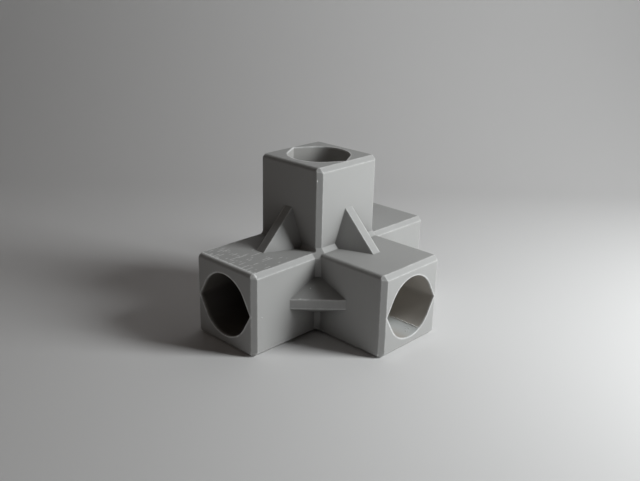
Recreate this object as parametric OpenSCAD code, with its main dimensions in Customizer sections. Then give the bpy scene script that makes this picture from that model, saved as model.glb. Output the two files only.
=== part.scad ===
// Four-way pipe connector: a solid cube core with four square arms, each bored as a
// pipe socket, and triangular webs that brace the arms. It stands on its flat base
// with one arm to each side, one to the front and one upwards. The back is flat.
// Millimetres. The origin is on the base, under the point where the socket axes cross.

/* [Pipe] */
// Outside diameter of the pipe that every socket takes
pipe_od = 26.7; // [16:0.1:50]
// Gap all round between the pipe and the round part of a socket
pipe_gap = 0.15; // [0:0.05:0.5]

/* [Sockets] */
// Depth of a socket, which is also how far its arm stands out from the core
socket_depth = 36; // [24:1:90]
// Angle between the two flats that meet in each of a socket's two points
point_angle = 120; // [100:1:150]
// Least wall between a socket's points and the sides of its arm
point_wall = 2.4; // [2.2:0.1:8]

/* [Edges] */
// Size of the rounded and bevelled edges and of the fills in the inner corners
edge = 1.9; // [0.6:0.1:2]

/* [Webs] */
// How far a web reaches along the two arms that it braces
web_leg = 16.4; // [6:0.2:22]
// Thickness of a web at its free edge
web_t = 4.2; // [1.5:0.1:10]
// Slant of the two sides of a web, which makes it thicker towards the corner
web_flare = 30; // [0:1:40]

/* [Hidden] */
$fn = 96;

bore_r = pipe_od / 2 + pipe_gap;
// Distance from a socket's axis to the tip of its points
point_r = bore_r / sin(point_angle / 2);
// Half the width of an arm, rounded up to a tenth of a millimetre
half = ceil(10 * (point_r + point_wall)) / 10;
arm_w = 2 * half;
reach = half + socket_depth;
// How deep a corner facet cuts, along the three edges added up
facet = 1.9 * edge;
// How deep a web is sunk in the walls of its arms
web_sunk = point_wall / 2;
// Tilt from upright of a line that leans equally to all three axes
corner_tilt = acos(1 / sqrt(3));
plastic = [0.70, 0.70, 0.69];

// Lay a shape over so that what was up runs along Y, towards the back
module along_y() rotate([90, 0, 0]) mirror([0, 0, 1]) children();

// Outline with its corners rounded
module round_outline(size_x, size_z) {
  in_x = size_x / 2 - edge;
  in_z = size_z / 2 - edge;
  square([size_x, 2 * in_z], center = true);
  square([2 * in_x, size_z], center = true);
  for (x = [-in_x, in_x], z = [-in_z, in_z])
    translate([x, z]) circle(edge);
}

// Outline that only cuts the corners of a rectangle, at 45 degrees, and stands clear
// of its sides
module cut_outline(size_x, size_y) {
  x = size_x / 2 + edge;
  y = size_y / 2 + edge;
  cut = 3 * edge;
  polygon([
    [x, y - cut], [x - cut, y], [cut - x, y], [-x, y - cut],
    [-x, cut - y], [cut - x, -y], [x - cut, -y], [x, cut - y]
  ]);
}

// Block whose four edges along Y are round, with a bevel round both of its Y ends
// and a flat three-sided facet where two bevels and a round edge meet
module soft_block(size) {
  span = size.x + size.y + size.z - 2 * facet;
  intersection() {
    along_y() linear_extrude(size.y, center = true) round_outline(size.x, size.z);
    linear_extrude(2 * size.z, center = true) cut_outline(size.x, size.y);
    rotate([0, 90, 0]) linear_extrude(2 * size.x, center = true) cut_outline(size.z, size.y);
    for_each_diagonal() cube([2 * span, 2 * span, span / sqrt(3)], center = true);
  }
}

// Common part of a shape turned to face each of the four diagonals of a cube
module for_each_diagonal()
  intersection_for(turn = [0:90:270]) rotate([0, 0, turn])
    rotate(a = corner_tilt, v = [1, -1, 0]) children();

// The two side arms and the core between them, as one bar
module cross_bar() soft_block([2 * reach, arm_w, arm_w]);

// The upright arm, with its foot sunk in the bar
module top_arm() {
  foot = edge - half;
  translate([0, 0, (reach + foot) / 2]) soft_block([arm_w, arm_w, reach - foot]);
}

// The arm to the front, with its root sunk in the bar
module front_arm() translate([0, -reach / 2, 0]) soft_block([arm_w, reach, arm_w]);

// Corner fills where an arm meets the bar, drawn for the corner between the left, front
// and top arms with that corner at zero. Flat fills join the front arm to the other two,
// a round one joins the left and top arms, and a facet runs across all three.
module inner_corner() {
  deep = arm_w - edge;
  out = 2 * edge;
  // One outline serves all three directions: a square with one corner cut off
  cut = [[-out, edge], [edge, -out], [deep, -out], [deep, deep], [-out, deep]];
  difference() {
    intersection() {
      translate([0, 0, -deep]) linear_extrude(deep + out) polygon(cut);
      along_y() mirror([0, 1, 0]) translate([0, 0, -out]) linear_extrude(deep + out) polygon(cut);
      translate([-out, 0, 0]) rotate([90, 0, 90]) linear_extrude(half + out)
        mirror([0, 1, 0]) polygon(cut);
      rotate(a = corner_tilt, v = [1, -1, 0]) translate([0, 0, -2 * arm_w])
        cube(4 * arm_w, center = true);
    }
    translate([-edge, 0, edge]) along_y() cylinder(h = 4 * arm_w, r = edge, center = true);
  }
}

// Triangle between two arms that stand out to +X and +Y, centred on its thickness, with
// its two legs sunk in the arms. From the free edge it thickens towards the corner, but
// no further than the flats of the arms.
module web() {
  deep = web_leg + 2 * web_sunk;
  thick = web_t / 2 + deep * tan(web_flare);
  flat = half - 2 * edge;
  intersection() {
    translate([-web_sunk, -web_sunk, -flat]) cube([2 * deep, 2 * deep, 2 * flat]);
    translate([web_leg / 2, web_leg / 2, 0]) rotate([90, 0, 45])
      linear_extrude(4 * deep, center = true)
        polygon([[0, web_t / 2], [-deep, thick], [-deep, -thick], [0, -web_t / 2]]);
  }
}

// What one side has: the corner fills and its two webs
module left_bracing() {
  translate([-half, -half, half]) inner_corner();
  translate([-half, -half, 0]) rotate([0, 0, 180]) web();
  translate([-half, 0, half]) rotate([90, 0, 0]) mirror([1, 0, 0]) web();
}

// Round bore with a shallow point on both sides, drawn upwards, points along Y
module socket() {
  flank = 90 - point_angle / 2;
  tip_x = bore_r * sin(flank);
  tip_y = bore_r * cos(flank);
  translate([0, 0, half]) linear_extrude(socket_depth + edge) {
    circle(bore_r);
    polygon([[0, point_r], [tip_x, tip_y], [0, 0], [-tip_x, tip_y]]);
    polygon([[0, -point_r], [-tip_x, -tip_y], [0, 0], [tip_x, -tip_y]]);
  }
}

module sockets() {
  socket();
  rotate([0, -90, 0]) socket();
  rotate([0, 90, 0]) socket();
  rotate([90, 0, 0]) rotate([0, 0, 90]) socket();
}

module solid_form() {
  cross_bar();
  top_arm();
  front_arm();
  left_bracing();
  mirror([1, 0, 0]) left_bracing();
  translate([0, -half, half]) rotate([90, 0, -90]) web();
}

module connector_body() color(plastic) translate([0, 0, half])
  difference() {
    solid_form();
    sockets();
  }

connector_body();
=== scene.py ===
# %% [markdown]
# # A printed four-way pipe connector
# The object is one solid print in light grey plastic, and its shape is finished in the CAD model.

# %% Load the CAD model
import math
import random

import bmesh
import bpy
from mathutils import Matrix, Vector


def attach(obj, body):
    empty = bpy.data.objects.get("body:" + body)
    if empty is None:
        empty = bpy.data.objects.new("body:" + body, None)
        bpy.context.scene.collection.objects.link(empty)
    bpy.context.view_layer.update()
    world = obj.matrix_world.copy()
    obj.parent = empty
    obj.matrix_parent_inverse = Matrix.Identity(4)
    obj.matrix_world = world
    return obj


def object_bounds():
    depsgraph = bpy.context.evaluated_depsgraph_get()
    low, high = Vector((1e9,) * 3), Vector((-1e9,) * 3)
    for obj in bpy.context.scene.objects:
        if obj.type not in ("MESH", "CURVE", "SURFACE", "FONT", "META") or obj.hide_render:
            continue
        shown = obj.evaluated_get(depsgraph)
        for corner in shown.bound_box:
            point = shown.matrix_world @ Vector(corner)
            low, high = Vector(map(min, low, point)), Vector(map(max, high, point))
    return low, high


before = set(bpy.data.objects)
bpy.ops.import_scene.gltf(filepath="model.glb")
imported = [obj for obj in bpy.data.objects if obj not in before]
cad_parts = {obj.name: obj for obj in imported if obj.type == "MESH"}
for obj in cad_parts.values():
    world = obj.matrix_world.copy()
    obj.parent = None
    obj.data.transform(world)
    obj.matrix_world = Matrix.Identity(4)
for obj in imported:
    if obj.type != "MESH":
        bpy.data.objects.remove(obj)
cad_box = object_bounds()
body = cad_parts["connector_body"]
# Sizes that later steps share, taken from the model in metres. A reach is counted from the
# middle of the core, and a place counts as on a plane when it is within the slack.
half_arm = cad_box[1][1]
arm_width = 2 * half_arm
arm_reach = cad_box[1][0]
slack = 0.0001
print("CAD box:", [tuple(round(v, 4) for v in corner) for corner in cad_box])

# %% [markdown]
# ## Camera
# The photograph was taken from above the gap between the left and the front arm. A camera can be
# aimed by eye, but straight edges give it exactly: the angles, the distance and the lens below
# make the long edges of the CAD model fall on the same edges in the photograph.

# %% Camera
view_azimuth = math.radians(-46.70)
view_elevation = math.radians(20.33)
view_roll = math.radians(1.33)
view_distance = 0.3663
view_target = Vector((0.0043, 0.0023, 0.0306))
picture_size = (640, 481)
focal_pixels = 809.1


def direction(azimuth, elevation):
    """Unit vector from the object; azimuth 0 points to the front and grows to the right."""
    return Vector((
        math.sin(azimuth) * math.cos(elevation),
        -math.cos(azimuth) * math.cos(elevation),
        math.sin(elevation),
    ))


back = direction(view_azimuth, view_elevation)
camera_data = bpy.data.cameras.new("photo_camera")
camera_data.sensor_width = 36
camera_data.lens = focal_pixels / picture_size[0] * camera_data.sensor_width
camera_data.clip_start = 0.01
camera = bpy.data.objects.new("photo_camera", camera_data)
bpy.context.scene.collection.objects.link(camera)
turn = (-back).to_track_quat("-Z", "Y").to_matrix().to_4x4() @ Matrix.Rotation(view_roll, 4, "Z")
camera.matrix_world = Matrix.Translation(view_target + back * view_distance) @ turn
bpy.context.scene.camera = camera
print("camera at", tuple(round(v, 3) for v in camera.matrix_world.translation))

# %% [markdown]
# ## Paper sweep
# The connector stands on pale paper that curves up behind it, so there is no line between floor
# and wall. One strip of faces, drawn along a flat, a quarter turn and a wall, does the same.

# %% Paper sweep
def paper_material():
    material = bpy.data.materials.new("pale_paper")
    material.use_nodes = True
    shader = material.node_tree.nodes["Principled BSDF"]
    shader.inputs["Base Color"].default_value = (0.765, 0.757, 0.755, 1)
    shader.inputs["Roughness"].default_value = 0.9
    shader.inputs["Specular IOR Level"].default_value = 0.2
    return material


def paper_sweep(width, front, bend_start, bend_radius, wall_top):
    away = Vector((-back.x, -back.y, 0)).normalized()
    across = Vector((away.y, -away.x, 0))
    profile = [(-front, 0.0), (bend_start, 0.0)]
    steps = 48
    for i in range(1, steps + 1):
        angle = math.radians(90) * i / steps
        along = bend_start + bend_radius * math.sin(angle)
        profile.append((along, bend_radius * (1 - math.cos(angle))))
    profile.append((bend_start + bend_radius, wall_top))
    points = []
    for along, height in profile:
        for side in (-width / 2, width / 2):
            points.append(away * along + across * side + Vector((0, 0, height)))
    faces = [(2 * i, 2 * i + 1, 2 * i + 3, 2 * i + 2) for i in range(len(profile) - 1)]
    mesh = bpy.data.meshes.new("paper_sweep")
    mesh.from_pydata(points, [], faces)
    mesh.shade_smooth()
    mesh.materials.append(paper_material())
    sweep = bpy.data.objects.new("paper_sweep", mesh)
    bpy.context.scene.collection.objects.link(sweep)
    return sweep


sweep = paper_sweep(width=40.0, front=12.0, bend_start=0.186, bend_radius=0.21, wall_top=2.0)
print("paper sweep:", len(sweep.data.polygons), "faces")

# %% [markdown]
# ## Node helpers
# Each effect on the plastic is a shader node group with named sockets, so that it can be seen,
# reused and set on its own. Short helpers keep the groups readable: they open a group, feed a
# socket with a value or a link, add a step of arithmetic, a ramp or a noise, take a vector apart or
# put it together, and place a finished group or a blend of colours.

# %% Node helpers
VECTOR = "NodeSocketVector"
FLOAT = "NodeSocketFloat"


def open_group(name, inputs, outputs):
    tree = bpy.data.node_groups.new(name, "ShaderNodeTree")
    for label, kind, value in inputs:
        socket = tree.interface.new_socket(label, in_out="INPUT", socket_type=kind)
        if value is not None:
            socket.default_value = value
    for label in outputs:
        tree.interface.new_socket(label, in_out="OUTPUT", socket_type=FLOAT)
    given = tree.nodes.new("NodeGroupInput").outputs
    result = tree.nodes.new("NodeGroupOutput").inputs
    return tree, given, result


def feed(tree, socket, value):
    if isinstance(value, bpy.types.NodeSocket):
        tree.links.new(value, socket)
    else:
        socket.default_value = value


def step(tree, operation, *values):
    node = tree.nodes.new("ShaderNodeMath")
    node.operation = operation
    for socket, value in zip(node.inputs, values):
        feed(tree, socket, value)
    return node.outputs[0]


def ramp(tree, value, low, high):
    """Smooth rise from 0 at low to 1 at high."""
    node = tree.nodes.new("ShaderNodeMapRange")
    node.interpolation_type = "SMOOTHSTEP"
    feed(tree, node.inputs["Value"], value)
    feed(tree, node.inputs["From Min"], low)
    feed(tree, node.inputs["From Max"], high)
    return node.outputs["Result"]


def noise(tree, dimensions, place, scale, detail=2.0):
    node = tree.nodes.new("ShaderNodeTexNoise")
    node.noise_dimensions = dimensions
    feed(tree, node.inputs["W" if dimensions == "1D" else "Vector"], place)
    node.inputs["Scale"].default_value = scale
    node.inputs["Detail"].default_value = detail
    return node.outputs["Fac"]


def split(tree, vector):
    node = tree.nodes.new("ShaderNodeSeparateXYZ")
    feed(tree, node.inputs[0], vector)
    return node.outputs


def join(tree, x, y, z):
    node = tree.nodes.new("ShaderNodeCombineXYZ")
    for socket, value in zip(node.inputs, (x, y, z)):
        feed(tree, socket, value)
    return node.outputs[0]


def use(tree, group, **values):
    """Place a group in a tree and return its outputs."""
    node = tree.nodes.new("ShaderNodeGroup")
    node.node_tree = group
    for label, value in values.items():
        feed(tree, node.inputs[label], value)
    return node.outputs


def blend(tree, kind, amount, first, second):
    node = tree.nodes.new("ShaderNodeMix")
    node.data_type = "RGBA"
    node.blend_type = kind
    feed(tree, node.inputs["Factor"], amount)
    feed(tree, node.inputs[6], first)
    feed(tree, node.inputs[7], second)
    return node.outputs[2]


print("node helpers ready")

# %% [markdown]
# ## Print layers
# The connector was printed lying on its back, so its layers are stacked along Y. On every face
# that runs along Y they show as fine parallel ridges, and from layer to layer the grey changes a
# little. A sine folded upwards has the shape of stacked beads, and a noise that depends on Y alone
# gives each layer its own tone.

# %% Print layers
def print_layers():
    tree, given, result = open_group(
        "print_layers",
        [("Position", VECTOR, None), ("Pitch", FLOAT, 0.0002)],
        ["Height", "Tone"],
    )
    y = split(tree, given["Position"])["Y"]
    layer = step(tree, "DIVIDE", y, given["Pitch"])
    bead = step(tree, "ABSOLUTE", step(tree, "SINE", step(tree, "MULTIPLY", layer, math.pi)))
    feed(tree, result["Height"], bead)
    feed(tree, result["Tone"], noise(tree, "1D", y, scale=1400.0, detail=3.0))
    return tree


layers = print_layers()
print(layers.name, "outputs:", [s.name for s in layers.interface.items_tree if s.in_out == "OUTPUT"])

# %% [markdown]
# ## Top tracks
# The last layer of each flat that faces the front is filled with slanting tracks, as wide as the
# nozzle. They only show where the face looks along Y, so the group also gives a mask for that.

# %% Top tracks
def top_tracks():
    tree, given, result = open_group(
        "top_tracks",
        [("Position", VECTOR, None), ("Normal", VECTOR, None), ("Width", FLOAT, 0.00042)],
        ["Height", "Mask"],
    )
    place = split(tree, given["Position"])
    slant = step(tree, "MULTIPLY", step(tree, "ADD", place["X"], place["Z"]), math.sqrt(0.5))
    track = step(tree, "MULTIPLY", step(tree, "DIVIDE", slant, given["Width"]), math.pi)
    feed(tree, result["Height"], step(tree, "ABSOLUTE", step(tree, "SINE", track)))
    facing = step(tree, "ABSOLUTE", split(tree, given["Normal"])["Y"])
    feed(tree, result["Mask"], ramp(tree, facing, low=0.90, high=0.98))
    return tree


tracks = top_tracks()
print(tracks.name, "made")

# %% [markdown]
# ## Mottle
# Melted plastic never sets quite evenly: broad soft patches differ a little in grey and in sheen,
# and a fine grain lies over them. Two noises of very different size are enough.

# %% Mottle
def mottle_noise():
    tree, given, result = open_group("mottle", [("Position", VECTOR, None)], ["Patches", "Grain"])
    feed(tree, result["Patches"], noise(tree, "3D", given["Position"], scale=55.0, detail=3.0))
    feed(tree, result["Grain"], noise(tree, "3D", given["Position"], scale=2600.0, detail=1.0))
    return tree


mottle = mottle_noise()
print(mottle.name, "made")

# %% [markdown]
# ## Worn edges and painted edge highlights
# All outer edges, and the rims of the sockets most of all, are scuffed to a thin paler line, and
# that line is also a painted highlight, where a softened edge catches the light. An edge can be
# found by
# its bend: short rays sent into the solid come out again only near an outer edge. A noise breaks the
# line up, as handling does.

# %% Worn edges and painted edge highlights
def worn_edges_and_highlight():
    tree, given, result = open_group(
        "worn_edges_and_highlight", [("Position", VECTOR, None), ("Width", FLOAT, 0.0009)], ["Mask"]
    )
    inward = tree.nodes.new("ShaderNodeAmbientOcclusion")
    inward.inside = True
    inward.only_local = True
    inward.samples = 12
    feed(tree, inward.inputs["Distance"], given["Width"])
    bend = step(tree, "SUBTRACT", 1.0, inward.outputs["AO"])
    handling = noise(tree, "3D", given["Position"], scale=320.0, detail=3.0)
    contrast = 2.6
    offset = -0.4
    broken = step(tree, "MULTIPLY_ADD", handling, contrast, offset)
    line = ramp(tree, bend, low=0.03, high=0.24)
    feed(tree, result["Mask"], step(tree, "MULTIPLY", line, broken))
    return tree


edges = worn_edges_and_highlight()
print(edges.name, "made")

# %% [markdown]
# ## Socket walls
# The insides of the sockets get painted shade that the faces outside don't: a warm shade tint in the
# side and front ones, and painted near-black shade in the left one. A wall of a socket is known by
# its
# place: beyond the core, and nearer to the axis of the socket than any outer face. The group gives
# the depth below the mouth for each socket, which is zero everywhere else.

# %% Socket walls
def socket_walls():
    tree, given, result = open_group(
        "socket_walls",
        [
            ("Position", VECTOR, None),
            ("Radius", FLOAT, 0.0159),
            ("Core", FLOAT, half_arm),
            ("Mouth", FLOAT, arm_reach),
        ],
        ["Left", "Right", "Front", "Top"],
    )
    place = split(tree, given["Position"])
    x, y = place["X"], place["Y"]
    z = step(tree, "SUBTRACT", place["Z"], given["Core"])

    def depth(out, a, b):
        squares = step(tree, "ADD", step(tree, "MULTIPLY", a, a), step(tree, "MULTIPLY", b, b))
        near = step(tree, "LESS_THAN", step(tree, "SQRT", squares), given["Radius"])
        beyond = step(tree, "GREATER_THAN", out, step(tree, "SUBTRACT", given["Core"], 2 * slack))
        below = step(tree, "SUBTRACT", given["Mouth"], out)
        return step(tree, "MULTIPLY", step(tree, "MULTIPLY", near, beyond), below)

    feed(tree, result["Left"], depth(step(tree, "MULTIPLY", x, -1.0), y, z))
    feed(tree, result["Right"], depth(x, y, z))
    feed(tree, result["Front"], depth(step(tree, "MULTIPLY", y, -1.0), x, z))
    feed(tree, result["Top"], depth(z, x, y))
    return tree


walls = socket_walls()
print(walls.name, "made")

# %% [markdown]
# ## Corner shade
# In the inner corners and under the webs the colour is darkened with painted shade, standing in for
# the shade that falls there. Rays sent out from the surface tell how closed in a place is. The
# plastic uses
# the group twice: with a long reach for the broad painted shade round the webs, and with a short
# reach for the dark line of painted shade in the crease itself.

# %% Corner shade
def corner_shade():
    tree, given, result = open_group("corner_shade", [("Reach", FLOAT, 0.022)], ["Mask"])
    outward = tree.nodes.new("ShaderNodeAmbientOcclusion")
    outward.only_local = True
    outward.samples = 12
    feed(tree, outward.inputs["Distance"], given["Reach"])
    open_air = ramp(tree, outward.outputs["AO"], low=0.20, high=0.92)
    feed(tree, result["Mask"], step(tree, "SUBTRACT", 1.0, open_air))
    return tree


corners = corner_shade()
print(corners.name, "made")

# %% [markdown]
# ## Painted highlight below the seam
# In the front socket every layer starts and ends on one line along the bore, the seam. Below that
# line the wall gets a painted pale bluish highlight, standing in for the window's reflection in the
# layer ridges, with a sharp border along the seam. The angle round the axis of the socket picks that
# part of the wall.

# %% Painted highlight below the seam
seam_angle = math.radians(-61)


def painted_seam_highlight():
    tree, given, result = open_group(
        "painted_seam_highlight",
        [
            ("Position", VECTOR, None),
            ("Seam", FLOAT, seam_angle),
            ("Height", FLOAT, half_arm),
            ("Radius", FLOAT, 0.0138),
            ("End", FLOAT, -half_arm - slack),
        ],
        ["Mask"],
    )
    place = split(tree, given["Position"])
    up = step(tree, "SUBTRACT", place["Z"], given["Height"])
    angle = step(tree, "ARCTAN2", up, place["X"])
    past = step(tree, "SUBTRACT", given["Seam"], angle)
    start = ramp(tree, past, low=-0.01, high=0.05)
    end = step(tree, "SUBTRACT", 1.0, ramp(tree, past, low=0.15, high=0.85))
    sideways = step(tree, "MULTIPLY", place["X"], place["X"])
    across = step(tree, "SQRT", step(tree, "MULTIPLY_ADD", up, up, sideways))
    near = step(tree, "LESS_THAN", across, given["Radius"])
    within = step(tree, "MULTIPLY", near, step(tree, "LESS_THAN", place["Y"], given["End"]))
    feed(tree, result["Mask"], step(tree, "MULTIPLY", within, step(tree, "MULTIPLY", start, end)))
    return tree


seam_highlight_mask = painted_seam_highlight()
print(seam_highlight_mask.name, "made")

# %% [markdown]
# ## Rub marks and a painted light band
# The top of the left arm has been rubbed near its mouth. Short white dashes follow the layers there,
# and the brink where the top rounds over is chipped to a pale, broken line. Just past the brink a
# weaker pale band is painted light, on the top of the rounding where light from above and the left
# falls. Each layer is a row with a number of its own, and a noise stretched along the row decides
# where its dashes start and end; the distance from the brink gives the line and the band.

# %% Rub marks
def rub_marks_and_lit_band():
    tree, given, result = open_group(
        "rub_marks_and_lit_band",
        [
            ("Position", VECTOR, None),
            ("From", FLOAT, -arm_reach),
            ("To", FLOAT, -0.024),
            ("Brink", FLOAT, -0.0519),
            ("Height", FLOAT, arm_width),
            ("Row", FLOAT, 0.00065),
        ],
        ["Mask"],
    )
    place = split(tree, given["Position"])
    gap = step(tree, "ABSOLUTE", step(tree, "SUBTRACT", place["Z"], given["Height"]))

    # Dashes along the rows, on the flat of the top, and more of them towards the mouth
    row_fill = 0.56
    rows = step(tree, "DIVIDE", place["Y"], given["Row"])
    row = step(tree, "FLOOR", rows)
    middle = step(tree, "ABSOLUTE", step(tree, "SUBTRACT", step(tree, "SUBTRACT", rows, row), 0.5))
    thin = step(tree, "LESS_THAN", middle, row_fill / 2)
    dashes_per_metre = 150.0
    shift_of_row = 7.31
    along = step(tree, "MULTIPLY", place["X"], dashes_per_metre)
    across = step(tree, "MULTIPLY", row, shift_of_row)
    dash = noise(tree, "3D", join(tree, along, across, 0.0), scale=1.0)
    worn = step(tree, "SUBTRACT", 1.0, ramp(tree, place["X"], given["From"], given["To"]))
    limit_far = 0.66
    limit_drop = 0.12
    limit_blur = 0.05
    limit = step(tree, "SUBTRACT", limit_far, step(tree, "MULTIPLY", worn, limit_drop))
    hit = ramp(tree, dash, limit, step(tree, "ADD", limit, limit_blur))
    flat = step(tree, "LESS_THAN", gap, slack)
    area = step(tree, "MULTIPLY", flat, step(tree, "GREATER_THAN", worn, 0.0))
    dashes = step(tree, "MULTIPLY", step(tree, "MULTIPLY", hit, thin), area)

    # The chipped line on the brink, and just past it a weaker band of painted light
    past = step(tree, "SUBTRACT", given["Brink"], place["X"])
    chipped = ramp(tree, noise(tree, "1D", place["Y"], scale=700.0), low=0.3, high=0.55)
    aside = ramp(tree, step(tree, "ABSOLUTE", past), low=0.0002, high=0.0005)
    line = step(tree, "MULTIPLY", step(tree, "SUBTRACT", 1.0, aside), chipped)
    lit_band_start = ramp(tree, past, low=-0.0001, high=0.0002)
    lit_band_end = ramp(tree, past, low=0.0005, high=0.0015)
    lit_band = step(tree, "SUBTRACT", lit_band_start, lit_band_end)
    lit_band_strength = 0.55
    brink_depth = 0.0012
    brink = step(tree, "MAXIMUM", line, step(tree, "MULTIPLY", lit_band, lit_band_strength))
    brink = step(tree, "MULTIPLY", brink, step(tree, "LESS_THAN", gap, brink_depth))
    feed(tree, result["Mask"], step(tree, "MAXIMUM", dashes, brink))
    return tree


rubs_and_lit_band = rub_marks_and_lit_band()
print(rubs_and_lit_band.name, "made")

# %% [markdown]
# ## Colour of the plastic
# The plastic is a light neutral grey. Patches and layers shift it a little, scuffs and rub marks
# make it paler, and painted highlights lie on the edges, on the rounded brink of the left arm and
# below the seam of the front socket. The walls of the sockets get painted shade: a warm shade tint
# in the front and the side ones, painted near-black shade in the left one, and a shade tint in the
# top one that is painted darker below its mouth. The inner corners and creases outside get painted
# shade too. Each is one blend over the last, with a mask from the groups above.

# %% Colour of the plastic
DARK_GREY = (0.370, 0.368, 0.360, 1)
LIGHT_GREY = (0.432, 0.430, 0.424, 1)
SCUFFED_AND_LIT = (0.78, 0.78, 0.77, 1)
RUBBED_AND_LIT = (0.85, 0.85, 0.84, 1)
PAINTED_SEAM_HIGHLIGHT = (0.63, 0.65, 0.65, 1)
WARM_SHADE_TINT = (0.455, 0.420, 0.375, 1)
TOP_SHADE_TINT = (0.420, 0.410, 0.395, 1)
CORNER_SHADE = (0.56, 0.55, 0.545, 1)
CREASE_SHADE = (0.42, 0.41, 0.405, 1)
LEFT_SHADE = (0.34, 0.33, 0.33, 1)
DEEP_SHADE = (0.30, 0.29, 0.28, 1)
# Share of an effect in the colour that it is laid over, or of an effect that is lost
PATCH_SHARE = 0.6
SHADE_TINT_SHARE = 0.7
SCUFF_AND_HIGHLIGHT_SHARE = 0.95
SCUFF_AND_HIGHLIGHT_LOSS = 0.3
RUB_AND_LIT_SHARE = 0.8
UPWARD_LOSS = 0.6
# Metres
CREASE_REACH = 0.008


def paint_shade_tint(tree, colour, depth, tone):
    """Lay a painted shade tint over a socket's wall from just below its mouth."""
    inside = ramp(tree, depth, low=0.0, high=0.001)
    return blend(tree, "MIX", step(tree, "MULTIPLY", inside, SHADE_TINT_SHARE), colour, tone)


def plastic_colour(tree, position, normal, wall, level):
    patches = use(tree, mottle, Position=position)["Patches"]
    streaks = use(tree, layers, Position=position)["Tone"]
    tone = step(tree, "MULTIPLY", streaks, 1 - PATCH_SHARE)
    tone = step(tree, "MULTIPLY_ADD", patches, PATCH_SHARE, tone)
    colour = blend(tree, "MIX", tone, DARK_GREY, LIGHT_GREY)
    # Painted warm shade tints on the walls of the side, front and top sockets
    colour = paint_shade_tint(tree, colour, level, WARM_SHADE_TINT)
    colour = paint_shade_tint(tree, colour, wall["Top"], TOP_SHADE_TINT)

    # Scuffs and painted edge highlights show less on faces that look to the front, into the light
    front = ramp(tree, step(tree, "ABSOLUTE", split(tree, normal)["Y"]), low=0.5, high=0.9)
    amount = step(tree, "MULTIPLY_ADD", front, -SCUFF_AND_HIGHLIGHT_LOSS, SCUFF_AND_HIGHLIGHT_SHARE)
    scuff_and_highlight = step(tree, "MULTIPLY", use(tree, edges, Position=position)["Mask"], amount)
    colour = blend(tree, "MIX", scuff_and_highlight, colour, SCUFFED_AND_LIT)
    # Rub marks, with a band of painted light just past the brink
    rub_and_lit = step(tree, "MULTIPLY", use(tree, rubs_and_lit_band, Position=position)["Mask"], RUB_AND_LIT_SHARE)
    colour = blend(tree, "MIX", rub_and_lit, colour, RUBBED_AND_LIT)
    # Painted highlight on the wall below the seam of the front socket
    colour = blend(tree, "MIX", use(tree, seam_highlight_mask, Position=position)["Mask"], colour, PAINTED_SEAM_HIGHLIGHT)

    # Painted shade in the corners outside the sockets, less where they look up
    outer = step(tree, "LESS_THAN", step(tree, "MAXIMUM", level, wall["Top"]), slack)
    upward = ramp(tree, split(tree, normal)["Z"], low=0.2, high=0.6)
    hidden = step(tree, "MULTIPLY", outer, step(tree, "MULTIPLY_ADD", upward, -UPWARD_LOSS, 1.0))
    corner = step(tree, "MULTIPLY", use(tree, corners)["Mask"], hidden)
    crease = step(tree, "MULTIPLY", use(tree, corners, Reach=CREASE_REACH)["Mask"], outer)
    colour = blend(tree, "MULTIPLY", corner, colour, CORNER_SHADE)
    colour = blend(tree, "MULTIPLY", crease, colour, CREASE_SHADE)

    # Painted shade: the left socket is darkened from its mouth on, the top one from a line farther
    # down
    left = ramp(tree, wall["Left"], low=0.0, high=0.002)
    deep = ramp(tree, wall["Top"], low=0.0092, high=0.0108)
    colour = blend(tree, "MULTIPLY", left, colour, LEFT_SHADE)
    return blend(tree, "MULTIPLY", deep, colour, DEEP_SHADE)


print("colour steps ready")

# %% [markdown]
# ## Relief of the plastic
# The layers, the tracks of the top layer and a fine grain are all far finer than the faces they lie
# on, so they are relief in the material. They lie over edges that are softened a little, as molten
# plastic never leaves a knife edge; deep in a level socket the points are sagged to wider curves.

# %% Relief of the plastic
# Heights and radii in metres
LAYER_HEIGHT = 0.000018
TRACK_HEIGHT = 0.000010
GRAIN_HEIGHT = 0.000008
EDGE_RADIUS = 0.0005
SAGGED_RADIUS = 0.003


def plastic_relief(tree, position, normal, level):
    layer = use(tree, layers, Position=position)
    track = use(tree, tracks, Position=position, Normal=normal)
    grain = use(tree, mottle, Position=position)["Grain"]
    relief = step(tree, "MULTIPLY", layer["Height"], LAYER_HEIGHT)
    track_height = step(tree, "MULTIPLY", track["Mask"], TRACK_HEIGHT)
    relief = step(tree, "MULTIPLY_ADD", track["Height"], track_height, relief)
    relief = step(tree, "MULTIPLY_ADD", grain, GRAIN_HEIGHT, relief)
    soft = tree.nodes.new("ShaderNodeBevel")
    soft.samples = 8
    radius = step(tree, "MAXIMUM", level, EDGE_RADIUS)
    feed(tree, soft.inputs["Radius"], step(tree, "MINIMUM", radius, SAGGED_RADIUS))
    bump = tree.nodes.new("ShaderNodeBump")
    bump.inputs["Distance"].default_value = 1.0
    bump.inputs["Strength"].default_value = 1.0
    feed(tree, bump.inputs["Height"], relief)
    feed(tree, bump.inputs["Normal"], soft.outputs[0])
    return bump.outputs[0]


print("relief steps ready")

# %% [markdown]
# ## Plastic
# The finished plastic has a satin sheen that varies with the patches. One material serves the whole
# body, because the body is one print.

# %% Plastic
ROUGHNESS = 0.43
ROUGHER_PATCHES = 0.2


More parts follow.
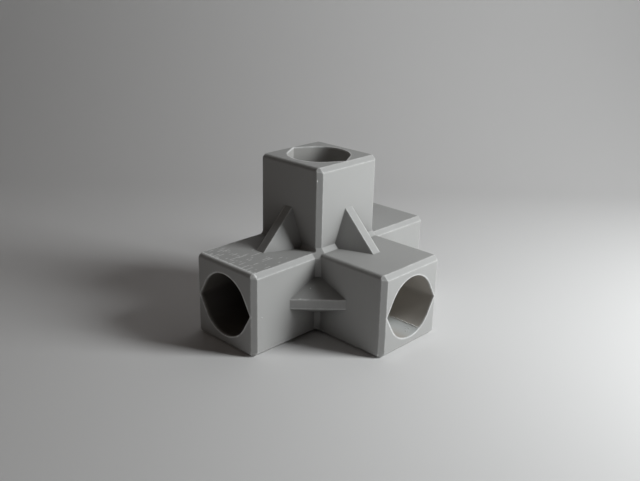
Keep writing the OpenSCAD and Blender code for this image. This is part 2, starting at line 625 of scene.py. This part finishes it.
def plastic_material():
    material = bpy.data.materials.new("grey_plastic")
    material.use_nodes = True
    tree = material.node_tree
    shader = tree.nodes["Principled BSDF"]
    position = tree.nodes.new("ShaderNodeTexCoord").outputs["Object"]
    normal = tree.nodes.new("ShaderNodeNewGeometry").outputs["Normal"]
    wall = use(tree, walls, Position=position)
    # Depth in any of the three level sockets
    level = step(tree, "MAXIMUM", step(tree, "MAXIMUM", wall["Left"], wall["Right"]), wall["Front"])
    feed(tree, shader.inputs["Base Color"], plastic_colour(tree, position, normal, wall, level))
    patches = use(tree, mottle, Position=position)["Patches"]
    roughness = step(tree, "MULTIPLY_ADD", patches, ROUGHER_PATCHES, ROUGHNESS)
    feed(tree, shader.inputs["Roughness"], roughness)
    feed(tree, shader.inputs["Normal"], plastic_relief(tree, position, normal, level))
    return material


plastic = plastic_material()
for slot in body.material_slots:
    slot.material = plastic
print("plastic nodes:", len(plastic.node_tree.nodes))

# %% [markdown]
# ## Flecks and seam
# Every layer of the front socket starts and ends at one spot, and the little blobs it leaves there
# stack up to a dotted seam along the bore. A few loose flecks sit on other faces. They stand proud
# of the surface and catch the light, so they are small solids, scattered with a fixed seed.

# %% Flecks and seam
bore_radius = 0.0135
seam_start = -0.0532
seam_end = -0.0185
# Angle round the bore in degrees, place along Y and size
bore_specks = [
    (-79.5, -0.0502, 0.00030),
    (-77.5, -0.0508, 0.00026),
    (-74.0, -0.0490, 0.00020),
    (-68.0, -0.0478, 0.00018),
    (-71.0, -0.0502, 0.00020),
]
# Place and half sizes
loose_flecks = [
    ((-0.0179, -0.0162, 0.0667), (0.0003, 0.0003, 0.0004)),
    ((-0.0499, -0.0180, 0.0171), (0.0003, 0.0002, 0.0003)),
    ((-0.0249, -0.0204, 0.0230), (0.00026, 0.00026, 0.0003)),
    ((-0.0311, -0.0208, 0.0203), (0.0011, 0.0002, 0.00016)),
]


def add_fleck(mesh, centre, size):
    place = Matrix.Translation(centre) @ Matrix.Diagonal((*size, 1))
    bmesh.ops.create_icosphere(mesh, subdivisions=2, radius=1.0, matrix=place)


def on_bore(angle, y):
    return Vector((bore_radius * math.cos(angle), y, half_arm + bore_radius * math.sin(angle)))


def flecks_and_seam():
    rng = random.Random(7)
    mesh = bmesh.new()
    y = seam_start
    while y < seam_end:
        bead = rng.uniform(0.00016, 0.00034)
        length = rng.uniform(0.00035, 0.0009)
        wander = math.radians(rng.uniform(-0.7, 0.7))
        add_fleck(mesh, on_bore(seam_angle + wander, y), (bead, length, bead))
        y += rng.uniform(0.0005, 0.0010)
    longer = 1.3
    for angle, y, size in bore_specks:
        add_fleck(mesh, on_bore(math.radians(angle), y), (size, size * longer, size))
    for place, size in loose_flecks:
        add_fleck(mesh, Vector(place), size)
    data = bpy.data.meshes.new("flecks_and_seam")
    mesh.to_mesh(data)
    mesh.free()
    data.shade_smooth()
    piece = bpy.data.objects.new("flecks_and_seam", data)
    bpy.context.scene.collection.objects.link(piece)
    return piece


def fleck_material():
    material = bpy.data.materials.new("pale_fleck")
    material.use_nodes = True
    shader = material.node_tree.nodes["Principled BSDF"]
    shader.inputs["Base Color"].default_value = (0.70, 0.70, 0.69, 1)
    shader.inputs["Roughness"].default_value = 0.45
    return material


flecks = flecks_and_seam()
flecks.data.materials.append(fleck_material())
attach(flecks, "root")
print("flecks and seam:", len(flecks.data.polygons), "faces")

# %% [markdown]
# ## Light
# Soft daylight comes from a tall window on the right and in front, which lights the front faces and
# the tops. An area lamp of the same angular size has the same soft shadow, and because it stands
# close the paper fades from right to left. A second, weak window high on the right lifts the tops,
# and a glow from the left and the room itself keep the shaded faces from going black, both a little
# warm.

# %% Light
# Point that every lamp looks at
lit_point = Vector((0, 0, 0.02))


def area_lamp(name, azimuth, elevation, distance, width, height, level, colour):
    """A lamp aimed at the object; its place and its apparent width and height are in degrees."""
    data = bpy.data.lights.new(name, "AREA")
    data.shape = "RECTANGLE"
    data.size = 2 * distance * math.tan(math.radians(width / 2))
    data.size_y = 2 * distance * math.tan(math.radians(height / 2))
    data.energy = level * distance ** 2
    data.color = colour
    lamp = bpy.data.objects.new(name, data)
    bpy.context.scene.collection.objects.link(lamp)
    towards = direction(math.radians(azimuth), math.radians(elevation))
    lamp.visible_camera = False
    lamp.location = towards * distance + lit_point
    lamp.rotation_mode = "QUATERNION"
    lamp.rotation_quaternion = towards.to_track_quat("Z", "Y")
    return lamp


window = area_lamp(
    "window",
    azimuth=27.0,
    elevation=29.5,
    distance=0.43,
    width=16,
    height=34,
    level=9.6,
    colour=(0.97, 1.0, 1.005),
)
high_window = area_lamp(
    "high_window",
    azimuth=95,
    elevation=58,
    distance=0.54,
    width=40,
    height=40,
    level=0.58,
    colour=(1.0, 0.97, 0.95),
)
side_glow = area_lamp(
    "side_glow",
    azimuth=-115,
    elevation=35,
    distance=0.45,
    width=45,
    height=45,
    level=0.24,
    colour=(1.0, 0.88, 0.80),
)

room = bpy.data.worlds.new("room")
room.use_nodes = True
room_light = room.node_tree.nodes["Background"]
room_light.inputs["Color"].default_value = (1.0, 0.87, 0.79, 1)
room_light.inputs["Strength"].default_value = 0.02
bpy.context.scene.world = room
bpy.context.scene.view_settings.view_transform = "Standard"
print("lamps:", [lamp.name for lamp in (window, high_window, side_glow)])
